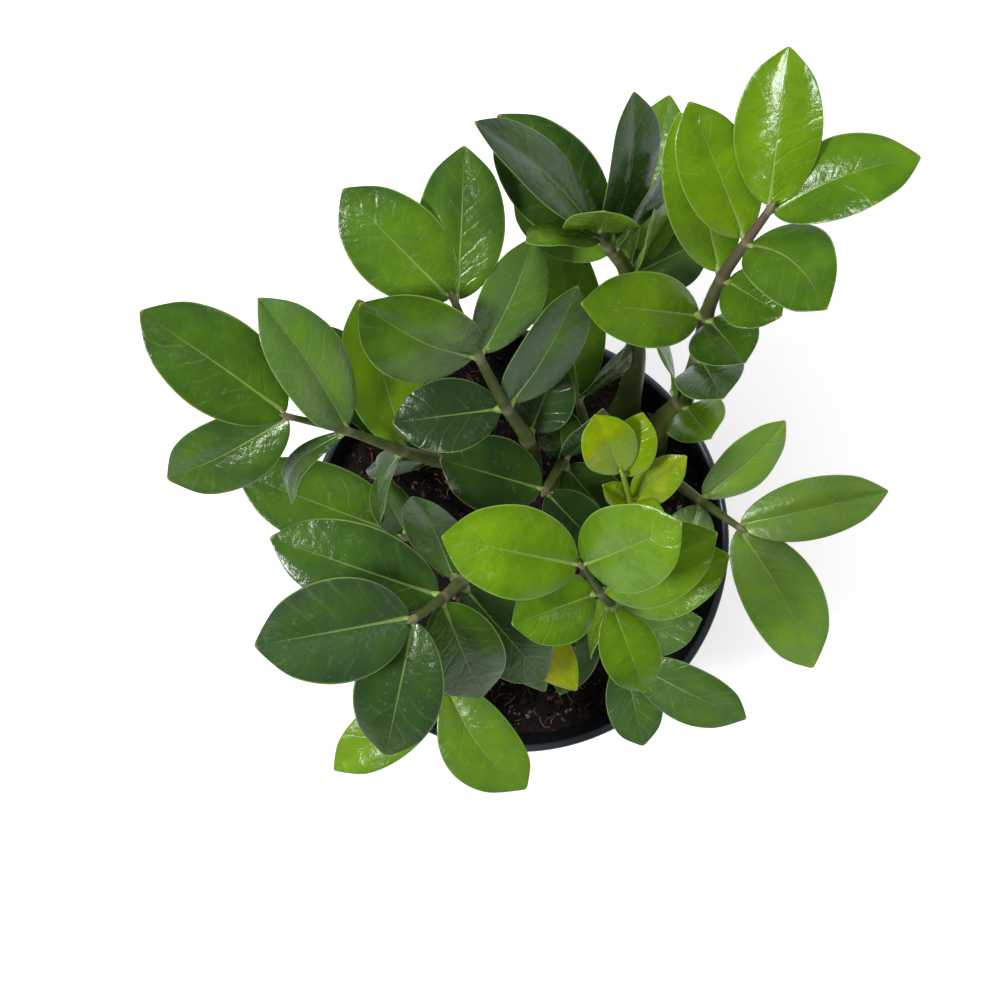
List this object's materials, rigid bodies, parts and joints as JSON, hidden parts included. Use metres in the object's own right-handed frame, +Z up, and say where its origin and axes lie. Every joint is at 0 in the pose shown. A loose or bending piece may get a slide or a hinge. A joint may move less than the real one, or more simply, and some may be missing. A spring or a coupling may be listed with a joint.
{
  "type": "potted zz plant",
  "caption": "ZZ plant with glossy paired leaflets on arching stems, growing in soil in a round tapered nursery pot.",
  "frame": {"origin": "middle of the pot's flat base, on the surface the pot stands on", "axes": "+Z up along the pot's axis; +X and +Y level, the tallest leaning stem leans to +X +Y"},
  "size_m": [0.2784, 0.2702, 0.3727],
  "materials": {
    "pot_plastic": "black moulded plastic, satin, with a faint blue-grey sheen on the rolled lip",
    "soil": "dark damp peat with reddish coir fibres and bark chips",
    "stem": "smooth olive skin mottled grey-brown, slightly waxy",
    "leaf": "thick, waxy, glossy deep green with a pale margin and midrib",
    "bright_leaf": "thick, waxy, glossy lime green with a pale margin and midrib",
    "young_leaf": "soft new growth, yellow-green and satin"
  },
  "bodies": {
    "root": {"leaflet_centre_1": "leaf", "leaflet_east_1": "leaf", "leaflet_east_2": "leaf", "leaflet_east_3": "leaf", "leaflet_inner_1": "leaf", "leaflet_north_1": "leaf", "leaflet_north_2": "leaf", "leaflet_north_3": "leaf", "leaflet_north_4": "leaf", "leaflet_northeast_1": "bright_leaf", "leaflet_northeast_2": "bright_leaf", "leaflet_northeast_3": "bright_leaf", "leaflet_northeast_4": "bright_leaf", "leaflet_northeast_5": "bright_leaf", "leaflet_northeast_6": "bright_leaf", "leaflet_northeast_7": "bright_leaf", "leaflet_northeast_8": "bright_leaf", "leaflet_northeast_9": "bright_leaf", "leaflet_northwest_1": "leaf", "leaflet_northwest_2": "leaf", "leaflet_northwest_3": "leaf", "leaflet_northwest_4": "leaf", "leaflet_northwest_5": "leaf", "leaflet_northwest_6": "leaf", "leaflet_south_1": "bright_leaf", "leaflet_south_2": "bright_leaf", "leaflet_south_3": "bright_leaf", "leaflet_south_4": "bright_leaf", "leaflet_south_5": "bright_leaf", "leaflet_south_6": "bright_leaf", "leaflet_south_low_1": "leaf", "leaflet_southeast_1": "leaf", "leaflet_southwest_1": "leaf", "leaflet_southwest_2": "leaf", "leaflet_southwest_3": "leaf", "leaflet_southwest_4": "leaf", "leaflet_southwest_5": "leaf", "leaflet_west_1": "leaf", "leaflet_west_2": "leaf", "leaflet_west_3": "leaf", "leaflet_west_4": "leaf", "leaflet_west_5": "leaf", "leaflet_west_low_1": "leaf", "leaflet_young_1": "young_leaf", "leaflet_young_2": "young_leaf", "pot": "pot_plastic", "soil": "soil", "stem_centre": "stem", "stem_east": "stem", "stem_inner": "stem", "stem_north": "stem", "stem_northeast": "stem", "stem_northwest": "stem", "stem_south": "stem", "stem_south_low": "stem", "stem_southeast": "stem", "stem_southwest": "stem", "stem_west": "stem", "stem_west_low": "stem", "stem_young": "young_leaf"}
  },
  "joints": []
}
